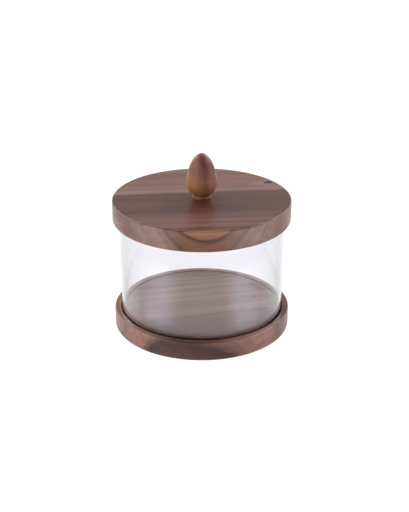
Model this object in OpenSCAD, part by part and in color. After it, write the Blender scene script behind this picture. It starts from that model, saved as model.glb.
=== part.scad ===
// Cake stand with a glass dome: an edge-glued base disc with a ring groove, an open glass cylinder
// that stands in the groove, and an edge-glued lid with a turned knob.
// Millimetres, +Z up, origin at the middle of the base's underside.

/* [Discs] */
// Diameter of the base and of the lid
disc_d = 250; // [245:1:300]
// Thickness of the base
base_t = 28; // [24:1:40]
// Thickness of the lid
lid_t = 30; // [24:1:40]
// Rounding of the upper edge of both discs
top_round = 1.5; // [0.5:0.5:4]
// Rounding of the lower edge of both discs
bottom_round = 4; // [0.5:0.5:6]

/* [Boards] */
// Direction of the base's boards, from +X towards +Y
base_grain = 13; // [-30:1:30]
// Glue line between the base's front and middle boards, from the centre
base_front_joint = -35; // [-80:1:-20]
// Glue line between the base's middle and back boards, from the centre
base_back_joint = 45; // [20:1:80]
// Direction of the lid's boards, from +X towards +Y
lid_grain = 5.4; // [-30:0.1:30]
// Glue line between the lid's front and middle boards, from the centre
lid_front_joint = -56; // [-80:1:-20]
// Glue line between the lid's middle and back boards, from the centre
lid_back_joint = 23; // [20:1:80]

/* [Glass] */
// Outer diameter of the glass cylinder
glass_d = 230; // [215:1:230]
// Height of the glass cylinder
glass_h = 142; // [100:1:200]
// Wall thickness of the glass
glass_wall = 3; // [2.5:0.1:4]
// Rounding of the ground and polished rims
lip_round = 1.2; // [0.4:0.1:1.2]
// Depth of the ring groove in the base and in the lid
groove_depth = 6; // [4:0.5:10]
// Room between the glass and each wall of a groove
groove_gap = 1.5; // [0.5:0.1:2]

/* [Seal] */
// Thickness of the seal ring
seal_t = 2.5; // [1:0.1:3]
// Room between the seal and each wall of the lid's groove
seal_gap = 0.2; // [0.1:0.1:0.5]

/* [Knob] */
// Height of the knob above the lid
knob_h = 65; // [50:1:90]
// Diameter of the knob at its widest
knob_d = 43.3; // [30:0.1:60]
// Height of the widest point above the lid
knob_belly_h = 24.2; // [18:0.1:34]
// Height of the curve below the widest point, if it ran on to the axis
knob_lower_h = 22.9; // [20:0.1:40]
// Fullness of the upper curve: 2 is an ellipse, less is more pointed
knob_fullness = 1.57; // [1.3:0.01:2.4]
// Diameter of the foot
foot_d = 26.6; // [20:0.1:29]
// Height of the foot
foot_h = 4.6; // [3:0.1:7]
// How far the foot draws in towards the lid
foot_draw = 2; // [0:0.1:3]

/* [Fasteners] */
// Thread diameter of the knob's screw
screw_d = 5; // [4:1:6]
// Length of the screw below its head
screw_l = 30; // [28:1:35]
// Diameter of the screw's head
head_d = 10; // [8:0.5:11]
// Height of the screw's head
head_h = 3.6; // [3:0.1:4]
// Width across the flats of the hexagon socket
socket_af = 3; // [2.5:0.5:4]
// Outer diameter of the washer
washer_d = 15; // [12:0.5:17]
// Thickness of the washer
washer_t = 1.2; // [1:0.1:1.6]
// Diameter of the counterbore under the lid
counterbore_d = 18; // [16:0.5:24]
// Depth of the counterbore under the lid
counterbore_h = 8; // [6:0.5:10]
// Outer diameter of the threaded insert
insert_d = 8; // [7:0.5:9]
// Length of the threaded insert
insert_l = 12; // [9:0.5:14]

/* [Hidden] */
$fn = 96;

over = 1;                   // how far a cut runs past the face that it leaves by
running_gap = 0.05;         // room between the screw's thread and the insert's
disc_r = disc_d / 2;

glass_r = glass_d / 2;
groove_in_r = glass_r - glass_wall - groove_gap;
groove_w = glass_wall + 2 * groove_gap;

glass_z = base_t - groove_depth;
seal_z = glass_z + glass_h;
lid_z = seal_z + seal_t - groove_depth;
lid_top_z = lid_z + lid_t;

knob_r = knob_d / 2;
foot_r = foot_d / 2;
neck_h = foot_h + 0.8;      // height of the crease between the foot and the egg
foot_edge = 1;              // rounding of the foot's upper edge
knob_upper_steps = 30;
knob_lower_steps = 12;

seat_z = lid_z + counterbore_h;
washer_z = seat_z - washer_t;
head_z = washer_z - head_h;
pocket_h = insert_l + 1;
insert_z = lid_top_z + 0.5; // the insert stops just inside the knob's foot
screw_hole_d = screw_d + 0.5;
socket_h = 2;
head_edge = 1;              // rounding of the screw head's rim
tip = 0.6;                  // bevel at the screw's tip and the insert's mouth
washer_hole_d = screw_d + 0.3;
band_w = 1.2;               // width of the groove round the middle of the insert
band_depth = 0.4;

wood_dark = [0.36, 0.24, 0.19];
wood_light = [0.55, 0.42, 0.35];
wood_red = [0.46, 0.32, 0.26];

// What is left over when a corner of radius r is rounded off
module corner_waste(r) {
    difference() {
        square(r + over);
        circle(r);
    }
}

// Half section of a disc with both edges rounded
module disc_section(t) {
    difference() {
        square([disc_r, t]);
        translate([disc_r - top_round, t - top_round]) corner_waste(top_round);
        translate([disc_r - bottom_round, bottom_round]) mirror([0, 1]) corner_waste(bottom_round);
    }
}

// Half section of the ring groove, open at height 0 and cut upwards
module groove_section() {
    translate([groove_in_r, -over]) square([groove_w, groove_depth + over]);
}

module base_disc() {
    rotate_extrude() difference() {
        disc_section(base_t);
        translate([0, base_t]) mirror([0, 1]) groove_section();
    }
}

module lid_disc() {
    translate([0, 0, lid_z]) rotate_extrude() difference() {
        disc_section(lid_t);
        groove_section();
    }
}

// One board's share of the children: the strip from y = low to y = high, turned to the grain
module board(grain, low, high) {
    intersection() {
        children();
        rotate([0, 0, grain]) translate([-disc_d, low, -over]) cube([2 * disc_d, high - low, 2 * disc_d]);
    }
}

module base_board_back() {
    color(wood_light) board(base_grain, base_back_joint, disc_d) base_disc();
}

module base_board_middle() {
    color(wood_light) board(base_grain, base_front_joint, base_back_joint) base_disc();
}

module base_board_front() {
    color(wood_dark) board(base_grain, -disc_d, base_front_joint) base_disc();
}

module glass_cylinder() {
    mid_h = glass_h / 2;
    color([0.85, 0.93, 0.95, 0.35]) translate([0, 0, glass_z + mid_h]) rotate_extrude() difference() {
        translate([glass_r - glass_wall, -mid_h]) square([glass_wall, glass_h]);
        for (up = [0, 1]) mirror([0, up]) translate([0, mid_h - lip_round]) {
            translate([glass_r - lip_round, 0]) corner_waste(lip_round);
            translate([glass_r - glass_wall + lip_round, 0]) mirror([1, 0]) corner_waste(lip_round);
        }
    }
}

module lid_board_back() {
    color(wood_light) board(lid_grain, lid_back_joint, disc_d) lid_disc();
}

module lid_board_middle() {
    color(wood_dark) difference() {
        board(lid_grain, lid_front_joint, lid_back_joint) lid_disc();
        translate([0, 0, lid_z - over]) cylinder(d = counterbore_d, h = counterbore_h + over);
        translate([0, 0, lid_z]) cylinder(d = screw_hole_d, h = lid_t + over);
    }
}

module lid_board_front() {
    color(wood_red) board(lid_grain, -disc_d, lid_front_joint) lid_disc();
}

module lid_seal() {
    color([0.9, 0.9, 0.88]) translate([0, 0, seal_z]) difference() {
        cylinder(r = groove_in_r + groove_w - seal_gap, h = seal_t);
        translate([0, 0, -over]) cylinder(r = groove_in_r + seal_gap, h = seal_t + 2 * over);
    }
}

// Radius of the egg at height h above the lid
function egg_r(h) =
    h > knob_belly_h
        ? knob_r * sqrt(max(0, 1 - pow((h - knob_belly_h) / (knob_h - knob_belly_h), knob_fullness)))
        : knob_r * sqrt(1 - pow((knob_belly_h - h) / knob_lower_h, 2));

// Heights from low to high, closer together towards the end where the curve turns in
function easing(low, high, steps) = [for (i = [0 : steps]) low + (high - low) * sin(90 * i / steps)];

module knob() {
    lower = [for (i = [0 : knob_lower_steps]) neck_h + (knob_belly_h - neck_h) * i / knob_lower_steps];
    upper = easing(knob_belly_h, knob_h, knob_upper_steps);
    foot = [
        [0, 0],
        [foot_r - foot_draw, 0],
        [foot_r, foot_h - foot_edge],
        [foot_r - 0.3 * foot_edge, foot_h - 0.3 * foot_edge],
        [foot_r - foot_edge, foot_h]
    ];
    egg = [
        for (i = [0 : knob_lower_steps]) [egg_r(lower[i]), lower[i]],
        for (i = [1 : knob_upper_steps - 1]) [egg_r(upper[i]), upper[i]],
        [0, knob_h]
    ];
    color(wood_red) translate([0, 0, lid_top_z]) difference() {
        rotate_extrude() polygon(concat(foot, egg));
        translate([0, 0, -over]) cylinder(d = insert_d, h = pocket_h + over);
    }
}

module knob_insert() {
    color("goldenrod") translate([0, 0, insert_z]) rotate_extrude() difference() {
        translate([screw_d / 2 + running_gap, 0]) square([(insert_d - screw_d) / 2 - running_gap, insert_l]);
        translate([insert_d / 2 - band_depth, (insert_l - band_w) / 2]) square([band_depth + over, band_w]);
    }
}

module knob_screw() {
    head_r = head_d / 2;
    color("silver") difference() {
        union() {
            translate([0, 0, head_z]) rotate_extrude() difference() {
                square([head_r, head_h]);
                translate([head_r - head_edge, head_edge]) mirror([0, 1]) corner_waste(head_edge);
            }
            translate([0, 0, washer_z]) cylinder(d = screw_d, h = screw_l - tip);
            translate([0, 0, washer_z + screw_l - tip]) cylinder(d1 = screw_d, d2 = screw_d - 2 * tip, h = tip);
        }
        translate([0, 0, head_z - over]) cylinder(d = socket_af / cos(30), h = socket_h + over, $fn = 6);
    }
}

module knob_washer() {
    color("silver") translate([0, 0, washer_z]) difference() {
        cylinder(d = washer_d, h = washer_t);
        translate([0, 0, -over]) cylinder(d = washer_hole_d, h = washer_t + 2 * over);
    }
}

base_board_back();
base_board_middle();
base_board_front();
glass_cylinder();
lid_board_back();
lid_board_middle();
lid_board_front();
lid_seal();
knob();
knob_insert();
knob_screw();
knob_washer();
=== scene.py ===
"""A cake stand with a glass dome: walnut base and lid, a clear glass cylinder and a turned knob.

Metres and +Z up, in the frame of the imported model. Wood is coloured in millimetres of its own board:
u runs along the grain, v across the board's face and w through its thickness.
"""
import math

import bmesh
import bpy
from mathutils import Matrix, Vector


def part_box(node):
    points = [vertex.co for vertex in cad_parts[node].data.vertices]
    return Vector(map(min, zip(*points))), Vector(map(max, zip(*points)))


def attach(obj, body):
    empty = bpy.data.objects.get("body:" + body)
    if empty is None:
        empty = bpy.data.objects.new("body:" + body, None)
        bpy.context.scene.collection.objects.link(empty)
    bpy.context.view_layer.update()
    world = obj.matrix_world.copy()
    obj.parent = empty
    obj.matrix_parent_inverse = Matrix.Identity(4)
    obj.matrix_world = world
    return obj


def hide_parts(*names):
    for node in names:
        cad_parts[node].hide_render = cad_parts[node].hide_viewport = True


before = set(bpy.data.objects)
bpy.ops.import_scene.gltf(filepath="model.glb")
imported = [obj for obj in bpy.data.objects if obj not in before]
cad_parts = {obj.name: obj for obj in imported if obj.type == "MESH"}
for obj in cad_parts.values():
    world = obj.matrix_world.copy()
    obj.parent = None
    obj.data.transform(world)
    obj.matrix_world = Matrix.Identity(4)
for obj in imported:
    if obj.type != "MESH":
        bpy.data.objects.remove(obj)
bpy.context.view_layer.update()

MM = 0.001

# Sizes of the design that a node's box does not give, in metres
DISC_R = 125 * MM
TOP_ROUND = 1.5 * MM
BOTTOM_ROUND = 4 * MM
EASE = 0.35 * MM            # sanding of the edges of grooves and holes
GLASS_WALL = 3 * MM
GROOVE_GAP = 1.5 * MM
GROOVE_DEPTH = 6 * MM
LIP_ROUND = 1.2 * MM
COUNTERBORE_R = 9 * MM
COUNTERBORE_H = 8 * MM
SCREW_HOLE_R = 2.75 * MM
SEAL_GAP = 0.2 * MM
SEAL_EDGE = 0.5 * MM

BASE_GRAIN = math.radians(13)
BASE_JOINTS = (-35 * MM, 45 * MM)
LID_GRAIN = math.radians(5.4)
LID_JOINTS = (-56 * MM, 23 * MM)

KNOB_BELLY = 24.2 * MM      # height of the knob's widest point above the lid
KNOB_LOWER = 22.9 * MM      # height of the curve below it, if it ran on to the axis
KNOB_FULLNESS = 1.57
FOOT_R = 13.3 * MM
FOOT_H = 4.6 * MM
FOOT_DRAW = 2 * MM
FOOT_EDGE = 1 * MM
NECK_H = FOOT_H + 0.8 * MM
POCKET_R = 4 * MM
POCKET_H = 13 * MM

# Fineness of the meshes
AROUND = 288                # segments round every turned piece
EASE_STEPS = 3              # segments in an eased edge
ROUND_STEPS = 6             # and in the larger roundings
BOTTOM_STEPS = 8
LOWER_STEPS = 40            # segments of the knob's curve below its widest point
UPPER_STEPS = 80            # and above it
SUPPORT = 0.25 * MM         # how far from a corner the extra points of a flat side lie
CREASE = math.radians(28)   # edges that turn by more than this stay sharp
SAME_POINT = 0.0001 * MM


# ---------------------------------------------------------------- shader helpers

# Places of the colour sockets of a mix node
MIX_FIRST, MIX_SECOND, MIX_RESULT = 6, 7, 2


class Nodes:
    """Short ways to add and join the nodes of one tree. A value is a number, a colour or an output."""

    def __init__(self, tree):
        self.tree = tree

    def feed(self, socket, value):
        if isinstance(value, bpy.types.NodeSocket):
            self.tree.links.new(value, socket)
        else:
            socket.default_value = value

    def math(self, operation, *values):
        node = self.tree.nodes.new("ShaderNodeMath")
        node.operation = operation
        for socket, value in zip(node.inputs, values):
            self.feed(socket, value)
        return node.outputs[0]

    def split(self, vector):
        node = self.tree.nodes.new("ShaderNodeSeparateXYZ")
        self.feed(node.inputs[0], vector)
        return node.outputs

    def join(self, x, y, z):
        node = self.tree.nodes.new("ShaderNodeCombineXYZ")
        for socket, value in zip(node.inputs, (x, y, z)):
            self.feed(socket, value)
        return node.outputs[0]

    def length(self, x, y):
        """The length of the flat vector (x, y)."""
        node = self.tree.nodes.new("ShaderNodeVectorMath")
        node.operation = "LENGTH"
        self.feed(node.inputs[0], self.join(x, y, 0.0))
        return node.outputs["Value"]

    def place(self, vector, rotation=(0, 0, 0), scale=(1, 1, 1), offset=(0, 0, 0)):
        """vector scaled, turned and moved."""
        node = self.tree.nodes.new("ShaderNodeMapping")
        self.feed(node.inputs["Vector"], vector)
        node.inputs["Rotation"].default_value = rotation
        node.inputs["Scale"].default_value = scale
        node.inputs["Location"].default_value = offset
        return node.outputs[0]

    def noise(self, vector, detail=2.0, roughness=0.5):
        """Noise from 0 to 1 that changes about once over a unit of vector."""
        node = self.tree.nodes.new("ShaderNodeTexNoise")
        self.feed(node.inputs["Vector"], vector)
        node.inputs["Scale"].default_value = 1.0
        node.inputs["Detail"].default_value = detail
        node.inputs["Roughness"].default_value = roughness
        return node.outputs["Fac"]

    def fit(self, value, low, high, to_low=0.0, to_high=1.0, smooth=False):
        """value carried from low..high to to_low..to_high, and held at the ends."""
        node = self.tree.nodes.new("ShaderNodeMapRange")
        node.interpolation_type = "SMOOTHSTEP" if smooth else "LINEAR"
        for name, number in (("Value", value), ("From Min", low), ("From Max", high),
                             ("To Min", to_low), ("To Max", to_high)):
            self.feed(node.inputs[name], number)
        return node.outputs["Result"]

    def band(self, value, opens, closes):
        """0 to 1: fades in while value runs through the pair opens, and out through the pair closes."""
        rise = self.fit(value, *opens, smooth=True)
        fall = self.fit(value, *closes, 1.0, 0.0, smooth=True)
        return self.math("MULTIPLY", rise, fall)

    def ramp(self, factor, stops):
        """A colour ramp over stops of (place from 0 to 1, colour)."""
        node = self.tree.nodes.new("ShaderNodeValToRGB")
        self.feed(node.inputs[0], factor)
        elements = node.color_ramp.elements
        while len(elements) < len(stops):
            elements.new(0.5)
        for element, (place, colour) in zip(elements, stops):
            element.position = place
            element.color = (*colour, 1)
        return node.outputs["Color"]

    def mix(self, factor, first, second, blend="MIX"):
        node = self.tree.nodes.new("ShaderNodeMix")
        node.data_type = "RGBA"
        node.blend_type = blend
        self.feed(node.inputs["Factor"], factor)
        self.feed(node.inputs[MIX_FIRST], first)
        self.feed(node.inputs[MIX_SECOND], second)
        return node.outputs[MIX_RESULT]


class Finish(Nodes):
    """The nodes of one material, with its shader."""

    def __init__(self, name):
        self.material = bpy.data.materials.new(name)
        self.material.use_nodes = True
        super().__init__(self.material.node_tree)
        self.shader = self.tree.nodes["Principled BSDF"]

    def object_point(self):
        return self.tree.nodes.new("ShaderNodeTexCoord").outputs["Object"]

    def set(self, **values):
        """Sets the shader's inputs; an underscore in a name stands for a space."""
        for name, value in values.items():
            self.feed(self.shader.inputs[name.replace("_", " ")], value)

    def bump(self, height, distance, strength):
        """Relief on the surface: distance is its depth in metres."""
        node = self.tree.nodes.new("ShaderNodeBump")
        node.inputs["Strength"].default_value = strength
        node.inputs["Distance"].default_value = distance
        self.feed(node.inputs["Height"], height)
        self.set(Normal=node.outputs["Normal"])


# ---------------------------------------------------------------- camera, lights and floor

WHITE = (1, 1, 1, 1)
COOL_WHITE = (0.94, 1.0, 1.14, 1)

SENSOR = 36                 # millimetres, as the camera's lens is

SOFTBOX_DISTANCE = 1.9
SOFTBOX_AIM = 0.1           # height that the softboxes point at
SOFTBOXES = (               # name, azimuth and elevation in degrees, (width, height), watts
    ("left_box", -55, 26, (1.2, 1.5), 23),
    ("right_box", 80, 26, (1.2, 1.5), 18),
    ("back_left_box", -132, 34, (1.2, 1.2), 24),
    ("back_right_box", 132, 34, (1.2, 1.2), 24),
)

STUDIO_TURN = (-0.35, 0.25)  # the Y of the directions over which the studio brightens

# Where the pools of light painted into the floor's glow fade in and where they fade out. A ring is in
# metres from the stand's axis, and the sides are in degrees to the left and right of the camera.
NEAR_RING = ((0.16, 0.21), (0.34, 0.42))
NEAR_SIDES = ((22, 44), (48, 76))
FAR_RING = ((0.44, 0.56), (1.0, 1.6))
FAR_SIDES = ((21, 42), (60, 100))
FRONT_ENDS = (75, 115)      # the front band only fades out


def look_from(position, target):
    """The rotation of a camera or light at position that looks at target."""
    return (Vector(target) - Vector(position)).to_track_quat("-Z", "Y").to_euler()


def add_camera(distance=1.6086, elevation=23.72, height=0.1018, lens=79.31, shift=0.0054):
    """A camera in front of the stand, elevation degrees up. It looks at the stand's axis at height."""
    data = bpy.data.cameras.new("camera")
    data.sensor_width = SENSOR
    data.lens = lens
    data.shift_x = shift
    camera = bpy.data.objects.new("camera", data)
    bpy.context.scene.collection.objects.link(camera)
    angle = math.radians(elevation)
    camera.location = (0, -distance * math.cos(angle), height + distance * math.sin(angle))
    camera.rotation_euler = look_from(camera.location, (0, 0, height))
    bpy.context.scene.camera = camera


def add_softbox(name, azimuth, elevation, size, power):
    """A rectangular light. Azimuth 0 is on the camera's side of the stand, and 90 to the right of it."""
    data = bpy.data.lights.new(name, "AREA")
    data.shape = "RECTANGLE"
    data.size, data.size_y = size
    data.energy = power
    light = bpy.data.objects.new(name, data)
    bpy.context.scene.collection.objects.link(light)
    turn, rise = math.radians(azimuth), math.radians(elevation)
    reach = SOFTBOX_DISTANCE * math.cos(rise)
    height = SOFTBOX_AIM + SOFTBOX_DISTANCE * math.sin(rise)
    light.location = (reach * math.sin(turn), -reach * math.cos(turn), height)
    light.rotation_euler = look_from(light.location, (0, 0, SOFTBOX_AIM))


def add_world(front=0.15, back=0.52):
    """A white studio that is dim on the camera's side and brighter behind the stand."""
    world = bpy.data.worlds.new("studio")
    world.use_nodes = True
    bpy.context.scene.world = world
    studio = Nodes(world.node_tree)
    _, y, _ = studio.split(studio.tree.nodes.new("ShaderNodeTexCoord").outputs["Generated"])
    background = studio.tree.nodes["Background"]
    studio.feed(background.inputs["Color"], WHITE)
    studio.feed(background.inputs["Strength"], studio.fit(y, *STUDIO_TURN, front, back, smooth=True))


def add_floor(glow=1.02, ring=0.5, near=1.15, far=4.6, size=200):
    """A white light table that shines with strength glow.

    Pools of light are painted into its glow in three places: ring in a band round the front of the
    stand, near in that band on both sides of the camera, where it is also cooler, and far on both sides
    further out.
    """
    table = Finish("white_table")
    x, y, _ = table.split(table.object_point())
    turn = table.math("ARCTAN2", x, table.math("MULTIPLY", y, -1.0))
    angle = table.math("DEGREES", table.math("ABSOLUTE", turn))
    radius = table.length(x, y)

    # Painted pools of light: extra glow in bands of the floor round the stand, cooler near it
    near_ring = table.band(radius, *NEAR_RING)
    near_sides = table.band(angle, *NEAR_SIDES)
    front = table.fit(angle, *FRONT_ENDS, ring, 0.0, smooth=True)
    painted_near_light = table.math("MULTIPLY", near_ring, table.math("MULTIPLY_ADD", near_sides, near, front))
    painted_far_light = table.math("MULTIPLY", table.band(radius, *FAR_RING), table.band(angle, *FAR_SIDES))
    light = table.math("MULTIPLY_ADD", painted_far_light, far, painted_near_light)
    tint = table.mix(table.math("MULTIPLY", near_ring, near_sides), WHITE, COOL_WHITE)
    table.set(Base_Color=(0.05, 0.05, 0.05, 1), Roughness=0.9, Specular_IOR_Level=0.0)
    table.set(Emission_Color=tint, Emission_Strength=table.math("ADD", light, glow))

    half = size / 2
    corners = [(-half, -half, 0), (half, -half, 0), (half, half, 0), (-half, half, 0)]
    mesh = bpy.data.meshes.new("floor")
    mesh.from_pydata(corners, [], [(0, 1, 2, 3)])
    mesh.materials.append(table.material)
    floor = bpy.data.objects.new("floor", mesh)
    bpy.context.scene.collection.objects.link(floor)


# ---------------------------------------------------------------- walnut

# Kinds of grain: changes per millimetre along and across the board, its own start in the noise, and
# the noise's detail and roughness
GRAIN = {
    "bend": (0.011, 0.02, (3.1, 7.7), 2, 0.5),
    "ripple": (0.035, 0.12, (9.4, 1.3), 2, 0.5),
    "streak": (0.004, 0.13, (2.2, 4.1), 4, 0.5),
    "fibre": (0.022, 1.1, (5.2, 8.1), 4, 0.6),
    "pores": (0.16, 2.6, (1.2, 6.1), 2, 0.5),
}
STREAK_SPAN = (0.35, 0.65)  # the part of the noise's range that each kind uses
FIBRE_SPAN = (0.3, 0.7)
PORE_SPAN = (0.60, 0.68)

# Growth rings
FLARE_POWER = 8
DRIFT_ACROSS = 0.09         # changes of the rings' spacing per millimetre of radius
DRIFT_ALONG = 0.0015        # and per millimetre along the board
DRIFT_TURNS = 2.6           # how many rings the spacing drifts by
LATE_POWER = 3              # the higher, the later in its growth a ring darkens
RING_END = 0.96             # where in a ring its dark line starts to fade
FAINTEST_RING = 0.15

# How far each kind of grain shades the wood, on the scale of SHADE_SPAN
RING_SHADE = 0.55
PORE_SHADE = 0.30
FIBRE_SHADE = 0.17
STREAK_SHADE = 0.28
STREAK_MIDDLE = -0.1
SHADE_SPAN = (-0.5, 1.0)
LIGHT_GRAIN = (1.33, 1.35, 1.36, 1)     # gain on the wood's tone where the grain is palest
DARK_GRAIN = (0.34, 0.30, 0.28, 1)      # and where it is darkest

# Pin knot, as multiples of its radius
KNOT_CORE = 0.4             # the part that is dark all through
KNOT_REACH = 4.5            # how far from it the rings still bend
KNOT_BEND = 2.2             # how far they bend
KNOT_SQUASH = 1.25          # how many times longer along the grain than across it
KNOT_HEART = (0.014, 0.008, 0.007, 1)

# Surface
FIBRE_ROUGHNESS = (0.31, 0.39)
PORE_ROUGHNESS = 0.18       # added in the pores
FIBRE_RELIEF = 0.3          # against 1 for the pores
WOOD_IOR = 1.5


def grain(wood, point, kind, seed):
    """One kind of noise, drawn out along the board."""
    along, across, start, detail, roughness = GRAIN[kind]
    stretched = wood.place(point, scale=(along, across, across), offset=(seed, *start))
    return wood.noise(stretched, detail, roughness)


def ring_radius(wood, point, pith, taper, flare, waver, seed):
    """The distance from the log's pith in millimetres, with the flare and waver of grown wood in it."""
    u, v, w = wood.split(point)
    across = wood.math("SUBTRACT", wood.math("SUBTRACT", v, pith[0]), wood.math("MULTIPLY", u, taper))
    radius = wood.length(across, wood.math("SUBTRACT", w, pith[1]))
    if flare:
        reach = wood.math("DIVIDE", wood.math("SUBTRACT", u, flare[0]), flare[1])
        radius = wood.math("ADD", radius, wood.math("POWER", reach, FLARE_POWER))
    for kind, swing in (("bend", waver * 2), ("ripple", waver)):
        level = wood.math("SUBTRACT", grain(wood, point, kind, seed), 0.5)
        radius = wood.math("MULTIPLY_ADD", level, swing, radius)
    return radius


def bend_round_knot(wood, point, radius, knot):
    """The radius with the rings bent round a pin knot, and the share of knot at each point."""
    u, v, _ = wood.split(point)
    knot_u, knot_v, size = knot
    along = wood.math("SUBTRACT", u, knot_u)
    across = wood.math("MULTIPLY", wood.math("SUBTRACT", v, knot_v), KNOT_SQUASH)
    span = wood.length(along, across)
    core = wood.fit(span, size * KNOT_CORE, size, 1.0, 0.0, smooth=True)
    swirl = wood.fit(span, 0.0, size * KNOT_REACH, 1.0, 0.0, smooth=True)
    return wood.math("MULTIPLY_ADD", swirl, size * KNOT_BEND, radius), core


def growth_rings(wood, point, radius, ring, seed):
    """0 to 1: each ring darkens slowly outwards and ends at a thin line, some fainter than others."""
    u, _, _ = wood.split(point)
    across = wood.math("MULTIPLY", radius, DRIFT_ACROSS)
    drift = wood.noise(wood.join(across, wood.math("MULTIPLY", u, DRIFT_ALONG), seed))
    turns = wood.math("MULTIPLY_ADD", drift, DRIFT_TURNS, wood.math("DIVIDE", radius, ring))
    part = wood.math("FRACT", turns)
    darkness = wood.math("POWER", part, LATE_POWER)
    late = wood.math("MULTIPLY", darkness, wood.fit(part, RING_END, 1.0, 1.0, 0.0))
    count = wood.tree.nodes.new("ShaderNodeTexWhiteNoise")
    count.noise_dimensions = "1D"
    wood.feed(count.inputs["W"], wood.math("ADD", wood.math("FLOOR", turns), seed))
    return wood.math("MULTIPLY", late, wood.fit(count.outputs["Value"], 0.0, 1.0, FAINTEST_RING, 1.0))


def tone_at(wood, radius, tones):
    """The wood's tone at a distance from the pith."""
    first, last = tones[0][0], tones[-1][0]
    stops = [((place - first) / (last - first), colour) for place, colour in tones]
    return wood.ramp(wood.fit(radius, first, last), stops)


def walnut(name, turn, pith, tones, taper=0.0, flare=None, ring=3.4, waver=2.0, seed=0.0, knot=None,
           figure=1.0, gloss=0.45):
    """Solid walnut, sawn from a log.

    turn is the rotation that brings the stand's axes to the board's (u, v, w). pith is the place (v, w)
    of the log's centre, in millimetres, and taper how far it drifts for each millimetre along the grain.
    flare is (u, span): the rings swell by the eighth power of the distance from u over span.
    tones are (distance from the pith, colour), ring the spacing of the growth rings, waver how far they
    wander, and knot the (u, v, radius) of a pin knot that runs through the board. figure is the strength
    of the streaks and fibres, and gloss the level of the shine.
    """
    wood = Finish(name)
    point = wood.place(wood.object_point(), rotation=turn, scale=(1 / MM,) * 3)
    radius = ring_radius(wood, point, pith, taper, flare, waver, seed)
    if knot:
        radius, knot_core = bend_round_knot(wood, point, radius, knot)

    rings = growth_rings(wood, point, radius, ring, seed)
    streak = grain(wood, point, "streak", seed)
    fibre = grain(wood, point, "fibre", seed)
    pores = wood.fit(grain(wood, point, "pores", seed), *PORE_SPAN)
    swing = STREAK_SHADE * figure
    streaks = wood.fit(streak, *STREAK_SPAN, STREAK_MIDDLE - swing, STREAK_MIDDLE + swing)
    fibres = wood.fit(fibre, *FIBRE_SPAN, -FIBRE_SHADE * figure, FIBRE_SHADE * figure)
    shade = wood.math("MULTIPLY_ADD", rings, RING_SHADE, wood.math("ADD", streaks, fibres))
    shade = wood.math("MULTIPLY_ADD", pores, PORE_SHADE, shade)
    gain = wood.mix(wood.fit(shade, *SHADE_SPAN), LIGHT_GRAIN, DARK_GRAIN)
    colour = wood.mix(1.0, tone_at(wood, radius, tones), gain, "MULTIPLY")
    if knot:
        colour = wood.mix(knot_core, colour, KNOT_HEART)

    fibre_roughness = wood.fit(fibre, *FIBRE_SPAN, *FIBRE_ROUGHNESS)
    dull = wood.math("MULTIPLY_ADD", pores, PORE_ROUGHNESS, fibre_roughness)
    relief = wood.math("SUBTRACT", wood.math("MULTIPLY", fibre, FIBRE_RELIEF), pores)
    wood.set(Base_Color=colour, Roughness=dull, IOR=WOOD_IOR, Specular_IOR_Level=gloss)
    wood.bump(relief, distance=0.05 * MM, strength=0.5)
    return wood.material


# ---------------------------------------------------------------- glass, silicone and metal

# The glass's tint darkens where it is seen along its surface: partly the longer path through the wall,
# partly painted shade for the dark edges of the glass.
CLEAR = (0.92, 0.92, 0.953, 1)          # glass seen straight on
GLANCING = (0.65, 0.65, 0.67, 1)        # and along its surface
GLANCING_SPAN = (0.35, 0.9)             # on the scale of Layer Weight's facing
GLASS_IOR = 1.5

PALE_SILICONE = (0.84, 0.84, 0.81, 1)
GREY_SILICONE = (0.74, 0.74, 0.71, 1)
SILICONE_SPECKS = 900                   # per metre
SILICONE_IOR = 1.41

ZINC = (0.62, 0.63, 0.65)
BRASS = (0.78, 0.56, 0.22)
LATHE_MARKS = 14.0                      # per millimetre
STAINS = 160                            # per metre
STAIN_SPAN = (0.35, 0.75)
STAIN_TONE = 0.75                       # a stain's share of the metal's colour
MARK_SPAN = (0.3, 0.7)
SMOOTHER, ROUGHER = 0.08, 0.12          # how far the lathe's marks change the roughness


def clear_glass():
    glass = Finish("clear_glass")
    facing = glass.tree.nodes.new("ShaderNodeLayerWeight")
    facing.inputs["Blend"].default_value = 0.5
    # Partly painted shade: the tint darkens towards the glass's edges
    edge = glass.fit(facing.outputs["Facing"], *GLANCING_SPAN)
    glass.set(Base_Color=glass.mix(edge, CLEAR, GLANCING))
    glass.set(Transmission_Weight=1.0, IOR=GLASS_IOR, Roughness=0.0)
    return glass.material


def silicone():
    rubber = Finish("seal_silicone")
    specks = rubber.noise(rubber.place(rubber.object_point(), scale=(SILICONE_SPECKS,) * 3), detail=3)
    rubber.set(Base_Color=rubber.mix(specks, GREY_SILICONE, PALE_SILICONE))
    rubber.set(Roughness=0.45, Transmission_Weight=0.25, IOR=SILICONE_IOR)
    rubber.bump(specks, distance=0.02 * MM, strength=0.4)
    return rubber.material


def turned_metal(name, colour, roughness):
    """Metal off a lathe: fine rings round the vertical axis."""
    metal = Finish(name)
    x, y, z = metal.split(metal.place(metal.object_point(), scale=(LATHE_MARKS / MM,) * 3))
    marks = metal.noise(metal.join(metal.length(x, y), z, 0.0), detail=3)
    stain = metal.noise(metal.place(metal.object_point(), scale=(STAINS,) * 3), detail=4)
    stained = [channel * STAIN_TONE for channel in colour]
    metal.set(Base_Color=metal.mix(metal.fit(stain, *STAIN_SPAN), (*colour, 1), (*stained, 1)))
    dull = metal.fit(marks, *MARK_SPAN, roughness - SMOOTHER, roughness + ROUGHER)
    metal.set(Metallic=1.0, Roughness=dull)
    metal.bump(marks, distance=0.01 * MM, strength=0.5)
    return metal.material


# ---------------------------------------------------------------- turned shapes

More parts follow.
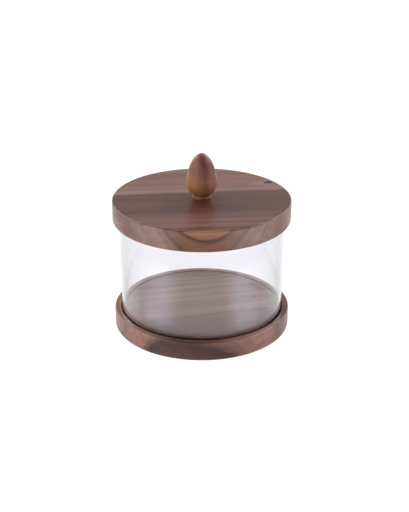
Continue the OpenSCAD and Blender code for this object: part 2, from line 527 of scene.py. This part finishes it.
def arc(centre, radius, start, end, steps=ROUND_STEPS):
    """Points on a round corner, from angle start to end in degrees."""
    points = []
    for i in range(steps + 1):
        angle = math.radians(start + (end - start) * i / steps)
        points.append((centre[0] + radius * math.cos(angle), centre[1] + radius * math.sin(angle)))
    return points


def neighbours(items, closed):
    """Each item with the one after it, and the last with the first where closed is true."""
    return list(zip(items, items[1:] + items[:1] if closed else items[1:]))


def supported(outline, closed):
    """The outline with a point just inside each end of its long sides, so that they shade as flat."""
    points = [Vector(point) for point in outline]
    made = []
    for start, end in neighbours(points, closed):
        made.append(start)
        side = end - start
        if side.length > 4 * SUPPORT:
            inset = side.normalized() * SUPPORT
            made += [start + inset, end - inset]
    if not closed:
        made.append(points[-1])
    return [tuple(point) for point in made]


def lathe(outline, closed):
    """The outline of (radius, height) points turned round Z. A closed outline makes a ring."""
    made = bmesh.new()
    step = 2 * math.pi / AROUND
    columns = []
    for radius, height in supported(outline, closed):
        if radius < SAME_POINT:
            columns.append([made.verts.new((0, 0, height))])
            continue
        columns.append([made.verts.new((radius * math.cos(step * i), radius * math.sin(step * i), height))
                        for i in range(AROUND)])
    for first, second in neighbours(columns, closed):
        for i in range(AROUND):
            j = (i + 1) % AROUND
            if len(first) == 1:
                made.faces.new((first[0], second[i], second[j]))
            elif len(second) == 1:
                made.faces.new((first[i], second[0], first[j]))
            else:
                made.faces.new((first[i], second[i], second[j], first[j]))
    bmesh.ops.recalc_face_normals(made, faces=made.faces)
    return made


def cut(made, normal, distance):
    """Keeps what lies behind the plane normal . p = distance, and closes the cut."""
    geometry = made.verts[:] + made.edges[:] + made.faces[:]
    result = bmesh.ops.bisect_plane(made, geom=geometry, plane_co=normal * distance, plane_no=normal,
                                    dist=SAME_POINT, clear_outer=True)
    rim = [item for item in result["geom_cut"] if isinstance(item, bmesh.types.BMEdge)]
    bmesh.ops.edgenet_fill(made, edges=rim)
    bmesh.ops.recalc_face_normals(made, faces=made.faces)


def finish_piece(name, made, body, node, material):
    """Turns a bmesh into a piece that stands for a CAD node."""
    for face in made.faces:
        face.smooth = True
    for edge in made.edges:
        if edge.is_manifold and edge.calc_face_angle() > CREASE:
            edge.smooth = False
    mesh = bpy.data.meshes.new(name)
    made.to_mesh(mesh)
    made.free()
    mesh.materials.append(material)
    piece = bpy.data.objects.new(name, mesh)
    bpy.context.scene.collection.objects.link(piece)
    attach(piece, body)
    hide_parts(node)


def base_outline(top, groove_in, groove_out):
    """Half section of the base, from the middle of its floor round to the middle of its underside."""
    return [
        (0, top),
        *arc((groove_in - EASE, top - EASE), EASE, 90, 0, EASE_STEPS),
        (groove_in, top - GROOVE_DEPTH),
        (groove_out, top - GROOVE_DEPTH),
        *arc((groove_out + EASE, top - EASE), EASE, 180, 90, EASE_STEPS),
        *arc((DISC_R - TOP_ROUND, top - TOP_ROUND), TOP_ROUND, 90, 0),
        *arc((DISC_R - BOTTOM_ROUND, BOTTOM_ROUND), BOTTOM_ROUND, 0, -90, BOTTOM_STEPS),
        (0, 0),
    ]


def lid_outline(bottom, top, groove_in, groove_out):
    """Half section of the lid, all round, with its counterbored hole in the middle."""
    return [
        (SCREW_HOLE_R, bottom + COUNTERBORE_H),
        (COUNTERBORE_R, bottom + COUNTERBORE_H),
        *arc((COUNTERBORE_R + EASE, bottom + EASE), EASE, 180, 270, EASE_STEPS),
        *arc((groove_in - EASE, bottom + EASE), EASE, -90, 0, EASE_STEPS),
        (groove_in, bottom + GROOVE_DEPTH),
        (groove_out, bottom + GROOVE_DEPTH),
        *arc((groove_out + EASE, bottom + EASE), EASE, 180, 270, EASE_STEPS),
        *arc((DISC_R - BOTTOM_ROUND, bottom + BOTTOM_ROUND), BOTTOM_ROUND, -90, 0, BOTTOM_STEPS),
        *arc((DISC_R - TOP_ROUND, top - TOP_ROUND), TOP_ROUND, 0, 90),
        (SCREW_HOLE_R, top),
    ]


def knob_outline(bottom, height, radius):
    """Half section of the knob, from the roof of its screw pocket round its foot to its tip."""
    points = [
        (0, POCKET_H),
        (POCKET_R, POCKET_H),
        (POCKET_R, 0),
        (FOOT_R - FOOT_DRAW, 0),
        (FOOT_R, FOOT_H - FOOT_EDGE),
        *arc((FOOT_R - FOOT_EDGE, FOOT_H - FOOT_EDGE), FOOT_EDGE, 0, 90, steps=4),
    ]
    for i in range(LOWER_STEPS + 1):
        level = NECK_H + (KNOB_BELLY - NECK_H) * i / LOWER_STEPS
        drop = (KNOB_BELLY - level) / KNOB_LOWER
        points.append((radius * math.sqrt(1 - drop ** 2), level))
    for i in range(1, UPPER_STEPS):
        rise = math.sin(math.pi / 2 * i / UPPER_STEPS)
        level = KNOB_BELLY + (height - KNOB_BELLY) * rise
        points.append((radius * math.sqrt(1 - rise ** KNOB_FULLNESS), level))
    points.append((0, height))
    return [(r, bottom + z) for r, z in points]


# ---------------------------------------------------------------- the wood's tones

# Each list has (millimetres from the log's pith, colour)
BASE_FRONT_TONES = [
    (106, (0.080, 0.030, 0.024)), (112, (0.072, 0.024, 0.019)), (117, (0.062, 0.017, 0.012)),
    (121, (0.049, 0.012, 0.005)), (126, (0.042, 0.009, 0.004)), (129, (0.053, 0.014, 0.006)),
    (131.5, (0.078, 0.027, 0.014)), (135, (0.103, 0.042, 0.025)), (140, (0.128, 0.056, 0.037)),
    (145, (0.160, 0.074, 0.051)), (151, (0.192, 0.090, 0.064)), (158, (0.205, 0.092, 0.068)),
    (190, (0.220, 0.098, 0.073)), (260, (0.196, 0.089, 0.067)), (310, (0.131, 0.058, 0.041)),
    (360, (0.091, 0.037, 0.025)),
]
BASE_MIDDLE_TONES = [
    (162, (0.281, 0.141, 0.098)), (164, (0.296, 0.151, 0.109)), (168, (0.291, 0.151, 0.115)),
    (169.5, (0.271, 0.131, 0.095)), (170.5, (0.191, 0.091, 0.059)), (176, (0.181, 0.083, 0.057)),
    (188, (0.161, 0.071, 0.049)), (200, (0.111, 0.049, 0.033)),
]
BASE_BACK_TONES = [
    (110, (0.241, 0.121, 0.086)), (119, (0.281, 0.139, 0.109)), (125, (0.281, 0.139, 0.109)),
    (138, (0.266, 0.131, 0.103)), (144, (0.291, 0.151, 0.119)),
]
LID_FRONT_TONES = [
    (98, (0.090, 0.035, 0.024)), (108, (0.095, 0.039, 0.028)), (121, (0.122, 0.054, 0.040)),
    (125, (0.118, 0.050, 0.036)), (128, (0.102, 0.039, 0.026)), (132, (0.125, 0.054, 0.040)),
    (135, (0.135, 0.060, 0.045)), (142, (0.120, 0.047, 0.031)), (144.2, (0.085, 0.028, 0.013)),
    (144.9, (0.048, 0.015, 0.006)), (145.6, (0.052, 0.017, 0.007)), (146.8, (0.105, 0.032, 0.012)),
    (150.8, (0.130, 0.042, 0.020)), (152.2, (0.085, 0.029, 0.011)), (153.1, (0.045, 0.014, 0.006)),
    (153.8, (0.170, 0.072, 0.036)), (157, (0.190, 0.084, 0.048)),
]
LID_MIDDLE_TONES = [
    (139, (0.067, 0.022, 0.016)), (143, (0.072, 0.024, 0.018)), (146, (0.074, 0.021, 0.014)),
    (155, (0.110, 0.045, 0.034)), (170, (0.130, 0.060, 0.045)),
]
LID_BACK_TONES = [
    (138, (0.145, 0.093, 0.073)), (144, (0.128, 0.070, 0.056)), (148, (0.120, 0.050, 0.035)),
    (152, (0.148, 0.065, 0.043)), (163, (0.155, 0.070, 0.048)), (180, (0.148, 0.072, 0.052)),
    (187, (0.170, 0.088, 0.070)), (197, (0.180, 0.100, 0.078)),
]
KNOB_TONES = [
    (2, (0.112, 0.040, 0.035)), (9, (0.128, 0.049, 0.036)), (15, (0.160, 0.064, 0.045)),
    (19, (0.187, 0.077, 0.049)), (23, (0.222, 0.088, 0.048)), (26.5, (0.255, 0.104, 0.052)),
    (29, (0.290, 0.125, 0.066)),
]


# ---------------------------------------------------------------- pieces

def make_boards(body, outline, closed, grain_turn, joints, finishes):
    """The disc of the base or the lid: turned, then sawn into its three boards along the glue lines."""
    across = Vector((-math.sin(grain_turn), math.cos(grain_turn), 0))
    cuts = {
        "front": [(across, joints[0])],
        "middle": [(-across, -joints[0]), (across, joints[1])],
        "back": [(-across, -joints[1])],
    }
    for place, planes in cuts.items():
        made = lathe(outline, closed)
        for normal, distance in planes:
            cut(made, normal, distance)
        node = f"{body}_board_{place}"
        finish_piece(f"{body}_{place}", made, body, node, finishes[place])


def make_base(groove_in, groove_out):
    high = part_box("base_board_middle")[1]
    turn = (0, 0, -BASE_GRAIN)
    finishes = {
        "front": walnut("walnut_base_front", turn, pith=(-187, -100), tones=BASE_FRONT_TONES,
                        taper=-0.9, flare=(-15, 54), ring=7, seed=1.7),
        "middle": walnut("walnut_base_middle", turn, pith=(5, 190), tones=BASE_MIDDLE_TONES,
                         flare=(-10, 84), ring=2.2, waver=1.0, seed=4.2, figure=1.4),
        "back": walnut("walnut_base_back", turn, pith=(150, -70), tones=BASE_BACK_TONES,
                       seed=6.9, figure=1.4),
    }
    outline = base_outline(high.z, groove_in, groove_out)
    make_boards("base", outline, False, BASE_GRAIN, BASE_JOINTS, finishes)


def make_lid(groove_in, groove_out):
    low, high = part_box("lid_board_middle")
    turn = (0, 0, -LID_GRAIN)
    finishes = {
        "front": walnut("walnut_lid_front", turn, pith=(20, 129), tones=LID_FRONT_TONES,
                        taper=-0.04, ring=8, waver=0.8, seed=2.6),
        "middle": walnut("walnut_lid_middle", turn, pith=(-20, 330), tones=LID_MIDDLE_TONES,
                         ring=2.2, seed=8.8, figure=1.4),
        "back": walnut("walnut_lid_back", turn, pith=(170, 60), tones=LID_BACK_TONES,
                       seed=3.9, knot=(102, 54, 9.5)),
    }
    outline = lid_outline(low.z, high.z, groove_in, groove_out)
    make_boards("lid", outline, True, LID_GRAIN, LID_JOINTS, finishes)


def make_glass():
    low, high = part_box("glass_cylinder")
    outer = high.x
    inner = outer - GLASS_WALL
    round_in, round_out = inner + LIP_ROUND, outer - LIP_ROUND
    outline = [
        *arc((round_out, low.z + LIP_ROUND), LIP_ROUND, -90, 0),
        *arc((round_out, high.z - LIP_ROUND), LIP_ROUND, 0, 90),
        *arc((round_in, high.z - LIP_ROUND), LIP_ROUND, 90, 180),
        *arc((round_in, low.z + LIP_ROUND), LIP_ROUND, 180, 270),
    ]
    tube = lathe(outline, closed=True)
    finish_piece("glass", tube, "glass", "glass_cylinder", clear_glass())


def make_seal():
    low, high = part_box("lid_seal")
    outer = high.x
    inner = outer - (GLASS_WALL + 2 * GROOVE_GAP - 2 * SEAL_GAP)
    outline = [
        *arc((outer - SEAL_EDGE, low.z + SEAL_EDGE), SEAL_EDGE, -90, 0, steps=4),
        (outer, high.z),
        (inner, high.z),
        *arc((inner + SEAL_EDGE, low.z + SEAL_EDGE), SEAL_EDGE, 180, 270, steps=4),
    ]
    ring = lathe(outline, closed=True)
    finish_piece("seal", ring, "lid", "lid_seal", silicone())


def make_knob():
    low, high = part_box("knob")
    upright = (0, math.radians(90), 0)
    finish = walnut("walnut_knob", upright, pith=(110.25, -4), tones=KNOB_TONES,
                    taper=-0.5, ring=3, waver=0.8, seed=5.5, gloss=0.2)
    outline = knob_outline(low.z, high.z - low.z, high.x)
    finish_piece("turned_knob", lathe(outline, closed=False), "lid", "knob", finish)


def finish_fasteners():
    """The screw, washer and insert keep their CAD shapes."""
    steel = turned_metal("zinc_steel", ZINC, roughness=0.3)
    brass = turned_metal("turned_brass", BRASS, roughness=0.28)
    for node, finish in (("knob_screw", steel), ("knob_washer", steel), ("knob_insert", brass)):
        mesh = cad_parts[node].data
        mesh.materials.clear()
        mesh.materials.append(finish)


def main():
    bpy.context.scene.view_settings.view_transform = "Standard"
    add_camera()
    add_world()
    for softbox in SOFTBOXES:
        add_softbox(*softbox)
    add_floor()

    glass_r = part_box("glass_cylinder")[1].x
    groove_in = glass_r - GLASS_WALL - GROOVE_GAP
    groove_out = glass_r + GROOVE_GAP
    make_base(groove_in, groove_out)
    make_glass()
    make_lid(groove_in, groove_out)
    make_seal()
    make_knob()
    finish_fasteners()


main()
